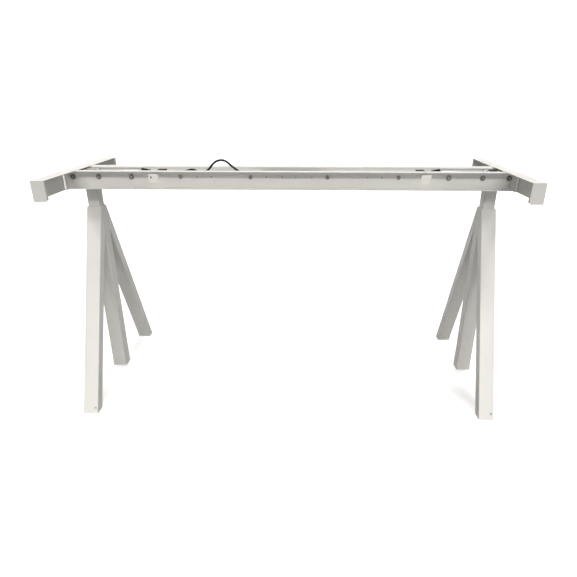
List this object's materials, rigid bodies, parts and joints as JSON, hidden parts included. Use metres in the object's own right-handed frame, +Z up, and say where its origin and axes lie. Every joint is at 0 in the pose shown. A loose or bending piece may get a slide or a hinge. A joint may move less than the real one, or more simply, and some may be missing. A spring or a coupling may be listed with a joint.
{
  "type": "electric height-adjustable desk frame",
  "caption": "Sit-stand desk frame: two electric lifting columns on raked leg pairs, joined by a width-adjustable twin-rail beam with desktop support arms.",
  "frame": {"origin": "on the floor, midway between the two columns and between the front and rear legs", "axes": "+X along the beam, to the right seen from the front; +Y to the rear; +Z up"},
  "size_m": [1.452, 0.698, 0.7792],
  "materials": {
    "white_steel": "white powder coat, fine orange peel, satin",
    "white_plastic": "white moulded nylon",
    "black_plastic": "black moulded ABS",
    "cable_jacket": "black PVC jacket",
    "zinc_steel": "zinc-plated steel",
    "motor_steel": "plain rolled steel can",
    "cast_aluminium": "die-cast, bead blasted",
    "bronze": "machined bronze"
  },
  "bodies": {
    "left_base": {"left_drive_nut": "bronze", "left_foot_caps": "white_plastic", "left_front_leg": "white_steel", "left_guide_collar": "white_plastic", "left_outer_tube": "white_steel", "left_push_tube": "zinc_steel", "left_rear_leg": "white_steel"},
    "left_head": {"left_arm": "white_steel", "left_arm_screws": "zinc_steel", "left_cable_saddle": "black_plastic", "left_front_rail": "white_steel", "left_gearbox_cap": "white_plastic", "left_gearbox_housing": "cast_aluminium", "left_head_bracket": "white_steel", "left_inner_tube": "white_steel", "left_motor_cable": "cable_jacket", "left_motor_can": "motor_steel", "left_motor_cap": "black_plastic", "left_rail_bolts": "zinc_steel", "left_rail_clip": "white_plastic", "left_rear_rail": "white_steel", "left_screw_bearing": "zinc_steel", "left_tube_glide": "white_plastic"},
    "left_screw": {"left_lifting_screw": "zinc_steel", "left_worm_wheel": "bronze"},
    "left_worm": {"left_worm_shaft": "zinc_steel"},
    "centre": {"cable_plugs": "black_plastic", "centre_front_rail": "white_steel", "centre_rear_rail": "white_steel", "control_box": "black_plastic", "control_box_lid": "black_plastic", "splice_bars": "white_steel", "splice_bolts": "zinc_steel"},
    "right_head": {"right_arm": "white_steel", "right_arm_screws": "zinc_steel", "right_cable_saddle": "black_plastic", "right_front_rail": "white_steel", "right_gearbox_cap": "black_plastic", "right_gearbox_housing": "cast_aluminium", "right_head_bracket": "white_steel", "right_inner_tube": "white_steel", "right_motor_cable": "cable_jacket", "right_motor_can": "motor_steel", "right_motor_cap": "black_plastic", "right_rail_bolts": "zinc_steel", "right_rail_clip": "white_plastic", "right_rear_rail": "white_steel", "right_screw_bearing": "zinc_steel", "right_tube_glide": "white_plastic"},
    "right_screw": {"right_lifting_screw": "zinc_steel", "right_worm_wheel": "bronze"},
    "right_worm": {"right_worm_shaft": "zinc_steel"},
    "right_base": {"right_drive_nut": "bronze", "right_foot_caps": "white_plastic", "right_front_leg": "white_steel", "right_guide_collar": "white_plastic", "right_outer_tube": "white_steel", "right_push_tube": "zinc_steel", "right_rear_leg": "white_steel"}
  },
  "joints": [
    {"name": "left_lift", "type": "slide", "parent": "left_base", "child": "left_head", "axis": [0, 0, 1], "range_m": [0, 0.45]},
    {"name": "left_width", "type": "slide", "parent": "left_head", "child": "centre", "axis": [1, 0, 0], "range_m": [0, 0.1]},
    {"name": "right_width", "type": "slide", "parent": "centre", "child": "right_head", "axis": [1, 0, 0], "range_m": [0, 0.1]},
    {"name": "right_lift", "type": "slide", "parent": "right_head", "child": "right_base", "axis": [0, 0, -1], "range_m": [0, 0.45]},
    {"name": "left_screw_spin", "type": "hinge", "parent": "left_head", "child": "left_screw", "pos_m": [-0.668, 0, 0.7], "axis": [0, 0, 1], "continuous": true},
    {"name": "right_screw_spin", "type": "hinge", "parent": "right_head", "child": "right_screw", "pos_m": [0.668, 0, 0.7], "axis": [0, 0, 1], "continuous": true},
    {"name": "left_worm_spin", "type": "hinge", "parent": "left_head", "child": "left_worm", "pos_m": [-0.6, 0.02, 0.722], "axis": [1, 0, 0], "continuous": true},
    {"name": "right_worm_spin", "type": "hinge", "parent": "right_head", "child": "right_worm", "pos_m": [0.6, 0.02, 0.722], "axis": [1, 0, 0], "continuous": true}
  ],
  "couplings": [
    {"joint": "right_lift", "follows": "left_lift", "ratio": 1},
    {"joint": "left_screw_spin", "follows": "left_lift", "rad_per_m": 523.6},
    {"joint": "right_screw_spin", "follows": "left_lift", "rad_per_m": 523.6},
    {"joint": "left_worm_spin", "follows": "left_lift", "rad_per_m": 6283.2},
    {"joint": "right_worm_spin", "follows": "left_lift", "rad_per_m": 6283.2}
  ]
}
